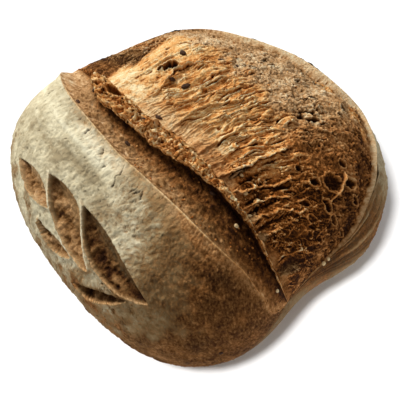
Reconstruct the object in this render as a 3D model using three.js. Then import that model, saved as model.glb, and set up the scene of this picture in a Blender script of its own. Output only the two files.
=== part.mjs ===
// Seeded bread loaf: a round hearth-baked loaf with a long slash, opened on
// one side into a rough bloom, and a wheat-ear pattern of leaf cuts on the flank.
// Millimetres, +Z up. The slash runs along X, the bloom lies on its +Y side and
// the leaf cuts on its -Y side. The loaf stands on a flat base at z = 0.
//
// The skin is described by two angles: "along" runs from one end of the slash
// (-90 deg) to the other (+90 deg), and "round" goes round the cross-section,
// from the +Y side (0) over the top (90) and the -Y side (180) to the base (270).
import * as THREE from 'three';
import { mergeVertices } from 'three/addons/utils/BufferGeometryUtils.js';

const { clamp, degToRad, euclideanModulo, lerp, radToDeg, smoothstep } = THREE.MathUtils;

// Proved dough before it opened: a squashed ball cut off flat by the oven floor.
const HALF_LENGTH = 110;
const HALF_WIDTH = 108;
const DOME_RISE = 66;
const BELLY_DROP = 52;
const BELLY_HEIGHT = 42;
const PLAN_POWER = 2.1;
const SIDE_POWER = 2.2;

// How uneven the plan is: swells and dents of the side, by bearing from +X in degrees,
// rises in mm. The slash pulled the outline in at both its ends and left a cheek on
// each side, and the middle of the flank is flatter than the rest.
const SWELLS = [
  { bearing: 8, reach: 22, rise: -15 },
  { bearing: 60, reach: 35, rise: 5 },
  { bearing: 125, reach: 20, rise: -4 },
  { bearing: 170, reach: 22, rise: -6 },
  { bearing: -145, reach: 22, rise: 9 },
  { bearing: -90, reach: 25, rise: -6 },
  { bearing: -35, reach: 22, rise: 7 },
];

// Where the two ends of the slash sit, off the X axis, as a share of the length.
const FAR_END_SHIFT = -0.16;
const NEAR_END_SHIFT = -0.07;
const END_LIFT = 0.09;

// Lines that run the length of the slash, as angles round the loaf in degrees:
// [at mid length, change towards the near end, extra at both ends]. The extra and
// every height fade in or out close to the ends, the more so the higher this power.
const END_POWER = 8;
const SKIN_EDGE = [126.5, -4.5, 6];
const LIP = [115, -12, 0];
const RIM = [24, -6, 9];

// Heights above and depths below the proved dough, and widths in degrees.
const EDGE_RISE = 1.4;
const EDGE_WIDTH = 2.2;
const STRIP_DEPTH = 3.2;
const STRIP_HOLLOW = 1.4;
const LIP_RISE = 7;
const LIP_OVERHANG = 1.6;
const LIP_WIDTH = 8.5;
const LIP_BACK_SHARE = 0.7; // height of the lip's back, as a share of its crest
const LIP_TAPER = 5;
const SHELTER_DEPTH = 5;
const SHELTER_WIDTH = 2;
const BLOOM_RISE = 4.5;
const RIM_RISE = 1.6;
const RIM_WIDTH = 2.6;
const RIM_STEP = 2.4;

// Torn strands of the bloom: waves along the slash, how far they slant, height.
const STRANDS = { count: 11, slant: 1.6, rise: 1.1 };

// Leaf cuts on the flank, in degrees along and round; widths and depths in mm.
const LEAVES = [
  { tail: [-35, 163], tip: [-14, 156], width: 8, depth: 2.2 },
  { tail: [-27, 156], tip: [14, 164], width: 15, depth: 3.6 },
  { tail: [-4, 151], tip: [38, 158], width: 16, depth: 4.2 },
  { tail: [-14, 172], tip: [5, 168], width: 7, depth: 2 },
  { tail: [9, 175], tip: [31, 163], width: 7, depth: 2.4 },
];
const LEAF_WALL = 4; // how far the sloping sides reach in
const LEAF_FULLNESS = 0.8; // below 1 the leaves are blunter than a sine
const FLANK_SCALE = 1.75; // mm of skin per degree, on the flank

// The mesh: rows across the slash, and where the finely meshed flank ends.
const ROWS = 60;
const FLANK_END = 180;

// Share of a height that is left towards the two ends of the slash.
function fade(along) {
  return 1 - Math.sin(along) ** END_POWER;
}

// Angle round the loaf, in degrees, of a line that follows the slash.
function lineAngle([middle, slope, ends], along) {
  const s = Math.sin(along);
  return middle + slope * s + ends * s ** END_POWER;
}

// Direction of a skin point, seen from the middle of the loaf.
function directionOf(along, round) {
  const towardsEnd = Math.sin(along) ** 2;
  const shift = along < 0 ? FAR_END_SHIFT : NEAR_END_SHIFT;
  return new THREE.Vector3(
    Math.sin(along),
    Math.cos(along) * Math.cos(round) + shift * towardsEnd,
    Math.cos(along) * Math.sin(round) + END_LIFT * towardsEnd,
  );
}

// How far the plan departs from round in a direction.
function lopsidedness(direction) {
  const bearing = Math.atan2(direction.y, direction.x);
  const level = (direction.x ** 2 + direction.y ** 2) / direction.lengthSq();
  const swells = SWELLS.reduce((sum, swell) => {
    const turn = radToDeg(bearing) - swell.bearing;
    const away = (euclideanModulo(turn + 180, 360) - 180) / swell.reach;
    return sum + swell.rise / HALF_LENGTH * Math.exp(-away * away);
  }, 0);
  return 1 + level * swells;
}

// Point on the proved dough and the normal there.
function doughAt(along, round) {
  const d = directionOf(along, round);
  const tall = d.z > 0 ? DOME_RISE : BELLY_DROP;
  const x = Math.abs(d.x / HALF_LENGTH);
  const y = Math.abs(d.y / HALF_WIDTH);
  const z = Math.abs(d.z / tall);
  const plan = x ** PLAN_POWER + y ** PLAN_POWER;
  const size = plan ** (SIDE_POWER / PLAN_POWER) + z ** SIDE_POWER;
  const share = plan ** (SIDE_POWER / PLAN_POWER - 1);
  const normal = new THREE.Vector3(
    share * x ** (PLAN_POWER - 1) * Math.sign(d.x) / HALF_LENGTH,
    share * y ** (PLAN_POWER - 1) * Math.sign(d.y) / HALF_WIDTH,
    z ** (SIDE_POWER - 1) * Math.sign(d.z) / tall,
  ).normalize();
  const reach = size ** (-1 / SIDE_POWER) * lopsidedness(d);
  return { point: d.multiplyScalar(reach), normal };
}

// Flat map of the flank in millimetres, from the two angles in degrees.
function onFlank(along, round) {
  return new THREE.Vector2(along, round).multiplyScalar(FLANK_SCALE);
}

// Depth of the leaf cuts at a point of the flank.
function leafDepth(along, round) {
  const here = onFlank(radToDeg(along), radToDeg(round));
  return LEAVES.reduce((deepest, leaf) => {
    const tail = onFlank(...leaf.tail);
    const axis = onFlank(...leaf.tip).sub(tail);
    const offset = here.clone().sub(tail);
    const share = clamp(offset.dot(axis) / axis.lengthSq(), 0, 1);
    const aside = Math.abs(offset.cross(axis)) / axis.length();
    const inside = leaf.width / 2 * Math.sin(Math.PI * share) ** LEAF_FULLNESS - aside;
    return Math.max(deepest, leaf.depth * smoothstep(inside, 0, LEAF_WALL));
  }, 0);
}

// The cross-section at one place along the slash: stations round the loaf with
// their height over the dough, and the number of mesh cells up to the next one.
function stationsAt(along) {
  const s = Math.sin(along);
  const edge = lineAngle(SKIN_EDGE, along);
  const lip = lineAngle(LIP, along);
  const rim = lineAngle(RIM, along);
  const lipBack = lip - LIP_WIDTH + LIP_TAPER * s;
  return [
    { round: rim - RIM_WIDTH, rise: 0, cells: 1 },
    { round: rim, rise: RIM_RISE, cells: 1 },
    { round: rim + RIM_WIDTH, rise: -RIM_STEP, cells: 16 },
    { round: lipBack - SHELTER_WIDTH, rise: -SHELTER_DEPTH, cells: 1 },
    { round: lipBack, rise: LIP_RISE * LIP_BACK_SHARE, cells: 2 },
    { round: lip + LIP_OVERHANG, rise: LIP_RISE, cells: 1 },
    { round: lip, rise: -STRIP_HOLLOW, cells: 4 },
    { round: edge - EDGE_WIDTH, rise: -STRIP_DEPTH, cells: 1 },
    { round: edge, rise: EDGE_RISE, cells: 1 },
    { round: edge + EDGE_WIDTH, rise: 0, cells: 32 },
    { round: FLANK_END, rise: 0, cells: 22 },
    { round: rim - RIM_WIDTH + 360, rise: 0, cells: 0 },
  ];
}

const BLOOM_GAP = 2;
const COLUMNS = stationsAt(0).reduce((sum, station) => sum + station.cells, 0);

// Angle round the loaf and height over the dough of one mesh column.
function profileAt(along, column) {
  const stations = stationsAt(along);
  let gap = 0;
  let first = 0;
  while (column >= first + stations[gap].cells && gap < stations.length - 2) {
    first += stations[gap].cells;
    gap += 1;
  }
  const from = stations[gap];
  const to = stations[gap + 1];
  const share = (column - first) / from.cells;
  let rise = lerp(from.rise, to.rise, share);
  if (gap === BLOOM_GAP) {
    const swell = Math.sin(Math.PI * share);
    const wave = Math.sin(STRANDS.count * along + STRANDS.slant * Math.PI * share);
    rise += swell * (BLOOM_RISE + STRANDS.rise * wave);
  }
  return { round: degToRad(lerp(from.round, to.round, share)), rise: rise * fade(along) };
}

// Skin point of the finished loaf for one mesh column.
function skinPoint(along, column) {
  const { round, rise } = profileAt(along, column);
  const { point, normal } = doughAt(along, round);
  const height = rise - leafDepth(along, round);
  point.addScaledVector(normal, height);
  if (point.z < -BELLY_HEIGHT) {
    point.multiplyScalar(BELLY_HEIGHT / -point.z);
    point.z = -BELLY_HEIGHT;
  }
  return point;
}

// One closed skin: a sphere's mesh, turned so its poles are the slash's ends.
function loafGeometry() {
  const geometry = new THREE.SphereGeometry(1, COLUMNS, ROWS);
  geometry.deleteAttribute('uv');
  geometry.deleteAttribute('normal');
  const position = geometry.getAttribute('position');
  for (let i = 0; i < position.count; i += 1) {
    const column = i % (COLUMNS + 1);
    const row = Math.floor(i / (COLUMNS + 1));
    const along = Math.PI * (0.5 - row / ROWS);
    const point = skinPoint(along, column);
    position.setXYZ(i, point.x, point.y, point.z);
  }
  const closed = mergeVertices(geometry);
  closed.computeBoundingBox();
  const { min, max } = closed.boundingBox;
  closed.translate(-(min.x + max.x) / 2, -(min.y + max.y) / 2, -min.z);
  closed.computeVertexNormals();
  return closed;
}

const crust = new THREE.MeshStandardMaterial({
  name: 'crust', color: 0xa87445, roughness: 0.85, metalness: 0,
});

const loaf = new THREE.Mesh(loafGeometry(), crust);
loaf.name = 'loaf';

const group = new THREE.Group();
group.name = 'seeded_bread_loaf';
group.add(loaf);

export default group;
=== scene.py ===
"""Seeded bread loaf: a round hearth loaf with a long slash, opened on one side.

The loaf is one skin, described by two angles: "along" runs from one end of the
slash (-90 degrees) to the other (+90), and "turn" goes round the cross-section
from the bloom side (0) over the top (90) and the floured flank (180) to the base
(270). Sizes in the shape functions are in millimetres, and angles in degrees.
The looks of every vertex are kept as numbers of 0 to 1 that the materials read:
toast is how browned it is, with painted shade in hollows, pores and under the lip
and painted highlights on some raised bits mixed in; grey how dull a brown, and on
the flour how dark, with painted lighter and darker bands; one more number how deep
in a hole, pore or crack a point lies, which paints it darker for the shade there;
and flour how thickly dusted. In the formulas that mix them, a number in front of a
field is its weight, a noise's numbers are its wave sizes and its seed, and the
first two of an ease are where it sets in and where it is complete.
"""

from itertools import product
from types import SimpleNamespace

import bmesh
import bpy
import numpy as np
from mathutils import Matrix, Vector


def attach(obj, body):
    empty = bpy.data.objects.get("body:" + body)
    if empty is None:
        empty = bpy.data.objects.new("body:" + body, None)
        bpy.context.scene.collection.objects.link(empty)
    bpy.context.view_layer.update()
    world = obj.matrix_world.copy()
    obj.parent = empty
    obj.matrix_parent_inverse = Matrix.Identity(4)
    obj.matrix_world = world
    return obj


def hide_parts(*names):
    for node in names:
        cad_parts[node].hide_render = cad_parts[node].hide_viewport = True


MM = 0.001
NODE = "loaf"
BAKE_MAP = "OFBake"

# Proved dough before it opened, the same as the CAD solid's.
HALF_LENGTH = 110.0
HALF_WIDTH = 108.0
DOME_RISE = 66.0
BELLY_DROP = 52.0
BELLY_HEIGHT = 42.0
PLAN_POWER = 2.1
SIDE_POWER = 2.2
SWELLS = (  # bearing from +X and reach in degrees, rise
    (8, 22, -15), (60, 35, 5), (125, 20, -4), (170, 22, -6),
    (-145, 22, 9), (-90, 25, -6), (-35, 22, 7),
)
FAR_END_SHIFT = -0.16
NEAR_END_SHIFT = -0.07
END_LIFT = 0.09
END_POWER = 8

# Lines along the slash, as (along, turn) points.
SKIN_EDGE = ((-90, 124), (-60, 127), (-10, 128), (30, 123), (64, 121), (76, 130), (90, 190))
LIP_FRONT = ((-90, 106), (-60, 108), (-35, 119), (0, 115), (30, 105), (52, 100), (90, 103))
LIP_BACK = ((-90, 103), (-60, 105), (-20, 108), (5, 102), (45, 97), (90, 100))
RIM = ((-90, 32), (-30, 25), (0, 21), (16, 15), (50, 20), (66, 16), (90, 2))
CRUST_LINE = ((-90, 20), (-40, 50), (30, 58), (60, 46), (90, 40))

# Heights above the dough along the same way, as (along, height) points.
LIP_RISE = (
    (-90, 0), (-65, 1), (-60, 7), (-52, 6.5), (-40, 6), (0, 5.5), (30, 4.8), (45, 4.5), (56, 5),
    (62, 7), (68, 6), (80, 4), (90, 0),
)
GROOVE = ((-90, 0), (-60, -0.4), (-20, -1.6), (10, -2.8), (35, -4), (60, -5), (75, -3), (90, 0))
EDGE_RISE = 1.2
CORNER = (-70, 9)  # where the skin's edge turns up at the far end: middle and reach
CORNER_RISE = 5.0
FAR_SINK = 8.5  # how far the torn far end has sunk, and where it sets in
FAR_SINK_ALONG = (-46, -63)
FAR_SINK_TURNS = ((30, 46), (126, 118))
EDGE_WIDTH = 2.0
STRIP_DEPTH = 2.6
OVERHANG = 1.0
SHELTER_DEPTH = 4.5
BLOOM_RISE = 4.0
RIM_RISE = 1.6
RIM_STEP = 1.8

# Mesh: rows across the slash, and cells from each line to the next.
ROWS = 700
SIDE_CELLS = 138
TOP_CELLS = 138
FLANK_CELLS = 130
LOW_FLANK_CELLS = 84
BASE_CELLS = 26
FAR_SKIN_CELLS = 40
LOW_FLANK = 166.0
BASE = 205.0
FAR_SKIN = 335.0
MM_PER_DEGREE = 1.9
LIP_CELLS = 33
LIP_FOOT_CELLS = 6
LIP_CELL_SIZE = 0.6  # mm


# ------------------------------ numbers

def ease(low, high, value):
    """0 below low and 1 above high, easing between; low may be the larger."""
    share = clipped((value - low) / (high - low))
    return share * share * (3 - 2 * share)


def clipped(value):
    return np.clip(value, 0, 1)


def lerp(a, b, share):
    return a + (b - a) * share


def bell(value, middle, reach):
    """1 at the middle, falling away to nothing beyond about twice the reach."""
    return np.exp(-((value - middle) / reach) ** 2)


TABLE = 256
RANDOM = np.random.default_rng(2024)
SHUFFLE = RANDOM.permutation(TABLE)
SLOPES = RANDOM.uniform(-1, 1, (TABLE, 3))
SPOTS = RANDOM.uniform(0, 1, (TABLE, 4))
SEED_STEPS = (37.7, 91.3, 53.9)  # how far apart two seeds take their noise
NOISE_GAIN = 1.6
FINER = 2.07  # how many times finer each next layer of noise is
FAINTER = 1.7  # and how many times fainter


def shuffled(cell):
    """A whole random number of the table for each cell of a grid."""
    h = 0
    for c in cell:
        h = SHUFFLE[(h + c) & (TABLE - 1)]
    return h


def noise(*place, seed=0):
    """Smooth random waves of about -1 to 1, one unit across, in 2 or 3 directions."""
    place = np.broadcast_arrays(*[c + seed * step for c, step in zip(place, SEED_STEPS)])
    base = [np.floor(c) for c in place]
    part = [c - b for c, b in zip(place, base)]
    eased = [p * p * p * (p * (p * 6 - 15) + 10) for p in part]
    base = [b.astype(np.int32) for b in base]
    total = 0
    for corner in product((0, 1), repeat=len(place)):
        h = shuffled([b + k for b, k in zip(base, corner)])
        weight = 1
        slope = 0
        for axis, k in enumerate(corner):
            weight *= (eased[axis] if k else 1 - eased[axis])
            slope += SLOPES[h, axis] * (part[axis] - k)
        total += weight * slope
    return NOISE_GAIN * total


def layered(*place, seed=0, layers=3):
    """Noise with finer and finer layers on top."""
    total = 0
    for k in range(layers):
        total += noise(*[c * FINER ** k for c in place], seed=seed + 17 * k) / FAINTER ** k
    return total


def solid_noise(p, size, seed):
    """Noise that runs through the whole loaf, with waves of a size in mm."""
    return noise(p.x / size, p.y / size, p.z / size, seed=seed)


def skin_noise(p, size, seed):
    """Noise laid over the skin, with waves of a size in mm."""
    return noise(p.s / size, p.v / size, seed=seed)


def cells(x, y, seed=0):
    """For points scattered one to a unit square: distance to the nearest and the
    next nearest, how far beyond the nearest in x, and its two numbers of 0 to 1."""
    x, y = np.broadcast_arrays(x + seed * SEED_STEPS[0], y + seed * SEED_STEPS[1])
    across = np.floor(x).astype(np.int32)
    up = np.floor(y).astype(np.int32)
    nearest = np.full(x.shape, 9.0)
    second = np.full(x.shape, 9.0)
    off = np.zeros(x.shape)
    found = np.zeros(x.shape, int)
    for i, j in product((-1, 0, 1), repeat=2):
        h = shuffled([across + i, up + j])
        beyond = x - across - i - SPOTS[h, 0]
        gap = np.hypot(beyond, up + j + SPOTS[h, 1] - y)
        closer = gap < nearest
        second = np.where(closer, nearest, np.minimum(second, gap))
        off = np.where(closer, beyond, off)
        found = np.where(closer, h, found)
        nearest = np.where(closer, gap, nearest)
    return nearest, second, off, SPOTS[found, 2], SPOTS[found, 3]


def blurred(field, times):
    """The field with each value evened out with its neighbours."""
    for _ in range(times):
        padded = np.pad(field, 1, mode="edge")
        field = (padded[:-2, 1:-1] + 2 * field + padded[2:, 1:-1]) / 4
        padded = np.pad(field, 1, mode="edge")
        field = (padded[1:-1, :-2] + 2 * field + padded[1:-1, 2:]) / 4
    return field


# ------------------------------ dough

def dough(along, turn):
    """Points of the proved dough and the normals there."""
    along = np.radians(along)
    turn = np.radians(turn)
    s2 = np.sin(along) ** 2
    shift = np.where(along < 0, FAR_END_SHIFT, NEAR_END_SHIFT)
    d = np.stack([
        np.sin(along) + 0 * turn,
        np.cos(along) * np.cos(turn) + shift * s2,
        np.cos(along) * np.sin(turn) + END_LIFT * s2,
    ], -1)
    tall = np.where(d[..., 2] > 0, DOME_RISE, BELLY_DROP)
    x = np.abs(d[..., 0] / HALF_LENGTH)
    y = np.abs(d[..., 1] / HALF_WIDTH)
    z = np.abs(d[..., 2] / tall)
    plan = x ** PLAN_POWER + y ** PLAN_POWER
    size = plan ** (SIDE_POWER / PLAN_POWER) + z ** SIDE_POWER
    share = plan ** (SIDE_POWER / PLAN_POWER - 1)
    normal = np.stack([
        share * x ** (PLAN_POWER - 1) * np.sign(d[..., 0]) / HALF_LENGTH,
        share * y ** (PLAN_POWER - 1) * np.sign(d[..., 1]) / HALF_WIDTH,
        z ** (SIDE_POWER - 1) * np.sign(d[..., 2]) / tall,
    ], -1)
    normal /= np.linalg.norm(normal, axis=-1, keepdims=True)
    bearing = np.arctan2(d[..., 1], d[..., 0])
    level = (d[..., 0] ** 2 + d[..., 1] ** 2) / (d ** 2).sum(-1)
    uneven = 0
    for middle, reach, rise in SWELLS:
        away = (np.degrees(bearing) - middle + 180) % 360 - 180
        uneven += rise / HALF_LENGTH * bell(away, 0, reach)
    point = d * (size ** (-1 / SIDE_POWER) * (1 + level * uneven))[..., None]
    return point, normal


def dough_middle():
    """Place of the dough's middle that stands the loaf centred over the origin."""
    point, _ = dough(ALONG, np.arange(0, 360, 2)[None, :])
    low, high = point.min((0, 1)), point.max((0, 1))
    return np.array([-(low[0] + high[0]) / 2, -(low[1] + high[1]) / 2, BELLY_HEIGHT])


# ------------------------------ the grid

ALONG = np.linspace(-90, 90, ROWS + 1)[:, None]
LINE_EASE = 3.0  # degrees over which a line's corners are rounded


def line_at(points, along):
    """Value of a line through the points, its corners rounded."""
    places, values = np.array(points, float).T
    return np.mean([np.interp(along + k * LINE_EASE, places, values) for k in np.linspace(-1, 1, 7)], 0)


def stations():
    """(name, turn, height) of the lines across the loaf, and the cells from each
    to the next. A name starts a zone."""
    edge = line_at(SKIN_EDGE, ALONG)
    rim = line_at(RIM, ALONG) + 0.5 * noise(ALONG / 7, 0, seed=1)
    wander = 1.0 * noise(ALONG / 5, 0, seed=2) + 0.6 * noise(ALONG / 1.7, 0, seed=3)
    front = line_at(LIP_FRONT, ALONG) + 0.8 * wander
    back = line_at(LIP_BACK, ALONG) + 1.8 * noise(ALONG / 5, 0, seed=4)
    ragged = 1 + 0.35 * noise(ALONG / 5, 0, seed=5) + 0.25 * noise(ALONG / 1.6, 0, seed=6)
    teeth = ease(25, 42, ALONG) * noise(ALONG / 2.6, 0, seed=7)
    lift = line_at(LIP_RISE, ALONG) * np.maximum(ragged + 0.8 * teeth, 0.2)
    groove = line_at(GROOVE, ALONG)
    corner = CORNER_RISE * bell(ALONG, *CORNER)
    return [
        ("bloom_side", rim, RIM_RISE, 3),
        ("", rim + 1.4, -RIM_STEP, SIDE_CELLS - 3),
        ("bloom_top", lerp(rim, back, 0.5), -1, TOP_CELLS),
        ("slash", back - 1.2, -SHELTER_DEPTH, 4),
        ("", back, 0.3 * lift - 1, 10),
        ("", lerp(back, front, 0.4), 0.95 * lift, 14),
        ("", front - 0.4, lift, 5),
        ("", front, 0.6 * lift, LIP_FOOT_CELLS),
        ("", front - OVERHANG, groove * 0.5, 4),
        ("", front - 0.2, groove, 20),
        ("", lerp(front, edge, 0.65), -STRIP_DEPTH, 14),
        ("", edge - EDGE_WIDTH * 0.5, 0.5 * corner - STRIP_DEPTH + 1.2, 6),
        ("flank", edge, EDGE_RISE + corner, 3),
        ("", edge + EDGE_WIDTH * 0.5, 0.5 + corner, 5),
        ("", edge + EDGE_WIDTH * 1.8, 0.7 * corner, 12),
        ("", edge + EDGE_WIDTH * 5.5, 0, FLANK_CELLS - 20),
        ("low_flank", np.maximum(LOW_FLANK, edge + 15), 0, LOW_FLANK_CELLS),
        ("under", np.maximum(BASE, edge + 30), 0, BASE_CELLS),
        ("", FAR_SKIN, 0, FAR_SKIN_CELLS - 6),
        ("", rim + 357.5, 0, 6),
        ("", rim + 360, RIM_RISE, 0),
    ]


def lay_grid():
    """Turn and height over the dough at every vertex, and each zone's columns."""
    turns = []
    rises = []
    zones = {}
    column = 0
    whole = 0 * ALONG  # stretches a number that is the same all along the loaf
    stops = stations()
    for (name, turn, rise, count), (_, turn2, rise2, _) in zip(stops, stops[1:]):
        if name:
            zones[name] = column
        share = np.arange(count) / count
        turns.append(lerp(turn, turn2, share) + whole)
        rises.append(lerp(rise, rise2, share) + whole)
        column += count
    turns.append(stops[-1][1] + whole)
    rises.append(stops[-1][2] + whole)
    starts = [*zones.values(), column]
    spans = {name: slice(a, b + 1) for name, a, b in zip(zones, starts, starts[1:])}
    return np.concatenate(turns, 1), np.concatenate(rises, 1), spans


def fade(along):
    """Share of a height that is left towards the two ends of the slash."""
    return 1 - np.sin(np.radians(along)) ** END_POWER


def patch(whole, columns):
    """The part of the loaf's fields between two columns."""
    return SimpleNamespace(**{name: field[:, columns] for name, field in vars(whole).items()})


# ------------------------------ the bloom

# Main torn strands: (along, turn) of the upper and the lower end, how many degrees
# the middle bows towards the near end, rise, width.
STRANDS = (
    ((28, 100), (31, 59), 2, 3.6, 4.5),
    ((38, 99), (44, 60), 2, 2.0, 2.8),
    ((47, 93), (51, 60), 0, 2.1, 2.6),
    ((54, 96), (60, 50), -2, 2.1, 2.6),
    ((61, 92), (61, 74), 1, 1.8, 2.5),
    ((-27, 97), (-30, 74), -2, 1.2, 3.0),
    ((-18, 95), (-4, 62), 0, 1.2, 4.0),
    ((-11, 96), (3, 62), 0, 1.2, 4.0),
    ((12, 101), (15, 64), 0, 1.4, 4.5),
    ((-31, 85), (-28, 64), -3, 3.0, 2.4),
)
# Hollows, holes, bubbles and the ring-shaped hole are sunk into the relief and also painted darker inside,
# painted shade; the holes darkest.
HOLLOWS = (  # (along, turn), radius along and across, depth
    ((50, 88), 2.0, 6.5, 4.0),
    ((51, 78), 2.2, 8.0, 4.0),
    ((46, 88), 1.8, 6.0, 3.0),
    ((37, 82), 2.4, 8.0, 2.8),
    ((46, 68), 2.0, 6.0, 2.8),
    ((34, 70), 1.8, 6.0, 2.6),
    ((58, 88), 2.6, 7.0, 3.0),
    ((58, 74), 2.6, 7.0, 2.6),
    ((75, 74), 5.0, 12.0, 4.0),
    ((66, 68), 4.0, 9.0, 2.6),
    ((8, 58), 1.4, 4.0, 2.6),
    ((-6, 70), 1.4, 4.5, 2.2),
    ((-37, 84), 4.0, 6.0, 1.6),
    ((51, 93), 2.4, 3.0, 2.4),
)
HOLES = (  # the same, open and dark inside
    ((-40, 78), 2.6, 2.6, 4.5),
    ((-38, 75), 3.8, 3.6, 7.5),
    ((-36, 73), 3.4, 3.4, 6.0),
    ((-12, 38), 1.6, 3.2, 3.0),
    ((-16, 38), 1.0, 3.4, 2.0),
    ((0, 36), 1.4, 2.4, 2.6),
    ((3, 34), 1.4, 2.0, 2.5),
    ((2, 28), 1.8, 1.4, 2.5),
    ((11, 38), 2.0, 1.6, 2.5),
    ((17, 28), 2.6, 1.8, 3.5),
    ((20, 31), 2.0, 1.5, 3.5),
    ((40, 58), 2.2, 1.8, 2.6),
    ((-22, 47), 1.2, 2.0, 2.0),
    ((-30, 41), 1.3, 1.8, 2.4),
    ((25, 24), 2.5, 1.6, 3.0),
)
BUBBLES = (  # shallow, painted a little darker inside for their shade, with a thin pale rim
    ((45, 33), 3.4, 4.4, 3.4),
    ((46, 51), 3.2, 3.4, 3.2),
    ((54, 42), 4.6, 2.6, 3.2),
    ((46, 42), 6.0, 5.4, 2.4),
    ((50, 27), 2.6, 3.0, 2.2),
    ((39, 37), 2.8, 2.2, 1.8),
    ((61, 24), 1.8, 1.6, 2.4),
    ((58, 35), 3.0, 2.4, 1.8),
    ((60, 50), 3.6, 3.0, 1.8),
    ((54, 56), 2.6, 3.2, 2.0),
    ((66, 38), 2.4, 2.2, 1.6),
)
HOLE_UNEVEN = 0.2  # share by which a brink wanders
PALE_PATCHES = (  # places sheltered from the heat, radius along and across
    ((-28, 79), 2.6, 3.6),
    ((-13, 99), 9.0, 5.0),
    ((6, 99), 9.0, 4.0),
)
GOLD_PATCHES = (  # places baked golden
    ((4, 24), 6.5, 4.0), ((18, 23), 7.0, 4.5), ((26, 22), 5.5, 4.0), ((11, 21), 4.0, 2.5),
)
OLIVE_PATCHES = (  # places baked a dull dark brown
    ((77, 72), 4.5, 9.0), ((61, 94), 5.0, 4.0), ((52, 92), 3.5, 4.0), ((32, 88), 4.0, 7.0),
)
FLAT_SIDE = (-8, 14, 3.2)  # where the side of the bloom bulges less: middle, reach, depth
FAR_BUMP = ((-64, 6), (48, 13), 3.0)  # middle and reach along and round, rise
RING_HOLE = ((19, 45), 5.2, 4.0)  # place, radius and depth of a ring-shaped hole
THIN_WALL = ((43, 47), 11, (-95, 0))  # an arc on (along, turn): its centre, radius, from and to


def bowed(start, end, bow):
    """(along, turn) points from start to end, the middle pushed along the slash."""
    shares = np.linspace(0, 1, 7)
    return [(lerp(start[0], end[0], k) + bow * np.sin(np.pi * k), lerp(start[1], end[1], k)) for k in shares]


def arc_points(centre, radius, span):
    """(along, turn) points of an arc between two angles in degrees."""
    angles = np.radians(np.linspace(*span, 7))
    return [(centre[0] + radius * np.cos(a), centre[1] + radius * np.sin(a)) for a in angles]


def place_of(whole, along, turn):
    """Row and column of the vertex nearest to a place."""
    row = int(round((along + 90) / 180 * ROWS))
    return row, int(np.abs(whole.turn[row] - turn).argmin())


def map_place(whole, along, turn):
    """A place on the bloom's flat map: how far along, and how far from the lip."""
    row, column = place_of(whole, along, turn)
    return whole.s[row, 0], whole.v[row, column]


def flakes(u, w, wide, long, seed):
    """Torn flakes lying over each other, each tilted its own way: height of about
    0 to 1, closeness to a raised edge, and each flake's own number of -1 to 1."""
    ragged = 0.55 * noise(u / (0.8 * wide), w / (0.5 * long), seed=seed)
    ragged += 0.3 * noise(u / (0.34 * wide), w / (0.25 * long), seed=seed + 1)
    nearest, second, off, own, other = cells(u / wide + ragged, w / long, seed=seed + 2)
    tilt = lerp(-0.5, 1.3, other)
    height = 0.5 * own + 0.8 * tilt * off
    edge = ease(0.2, 0.0, second - nearest) * ease(0.0, 0.35, tilt * off)
    return height, edge, 2 * own - 1


# Ways to face when laying an even pattern over the bloom.
FACINGS = (
    (-0.7, 0.1, 0.7), (0, 0.1, 1), (0.7, 0.1, 0.7), (-0.6, 0.7, 0.4), (0, 0.85, 0.5), (0.6, 0.7, 0.4),
)
FACING_POWER = 24
FACING_SHIFT = 50.0


def mapped(p, pattern):
    """A flat pattern laid on from several sides, so that it is nowhere stretched."""
    point = np.stack([p.x, p.y, p.z], -1)
    normal = np.stack([p.nx, p.ny, p.nz], -1)
    total = 0
    weights = 0
    for number, facing in enumerate(FACINGS):
        facing = np.array(facing) / np.linalg.norm(facing)
        ahead = np.cross((0, 1, 0), facing)
        ahead /= np.linalg.norm(ahead)
        weight = np.clip(normal @ facing, 0, 1) ** FACING_POWER
        found = pattern(point @ ahead + FACING_SHIFT * number, point @ np.cross(facing, ahead))
        total += weight * np.array(found)
        weights += weight
    return total / weights


TEAR_RUN, TEAR_RISE = 0.57, 0.82  # the way the short tears of the crusty part run


def open_crumb(g, h):
    """Torn crumb, bubbles, pores, threads and tears on a flat map in mm, each returned
    as its own fields in the order that the bloom's texture takes them."""
    slanted = g - 0.3 * h
    dot, _, _, dot_own, _ = cells(g / 3.6, h / 3.6, seed=22)
    pores = ease(0.3, 0.1, dot) * (dot_own > 0.8)
    web = np.maximum(ridge(g / 4.4, h / 3.4, 0.13, 101), 0.7 * ridge(slanted / 2.1, h / 1.8, 0.17, 102))
    tear = noise((TEAR_RUN * g + TEAR_RISE * h) / 5.5, (TEAR_RISE * g - TEAR_RUN * h) / 1.9, seed=103)
    return (
        *flakes(slanted, h, 3.6, 4.6, 41), *flakes(g, h, 1.7, 2.0, 44), *flakes(g, slanted, 7.5, 7.0, 104),
        *bubbles(slanted, h / 1.5, 4.6, 91), *bubbles(g, h, 2.4, 93), pores, web, tear,
    )


def bubbles(u, w, wide, seed):
    """Open crumb: its thin walls, 1 along them, and the hollows between, up to 1 deep."""
    ragged = 0.4 * noise(u / wide, w / wide, seed=seed)
    nearest, second, _, own, _ = cells(u / wide + ragged, w / wide - ragged, seed=seed + 1)
    wall = ease(0.24, 0.02, second - nearest)
    return wall, (0.3 + 0.7 * own) * ease(0.65, 0.1, nearest)


def ridge(u, w, sharpness, seed):
    """Branching threads: 1 along their crests, falling to 0 beside them."""
    return ease(sharpness, 0.0, np.abs(noise(u, w, seed=seed)))


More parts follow.
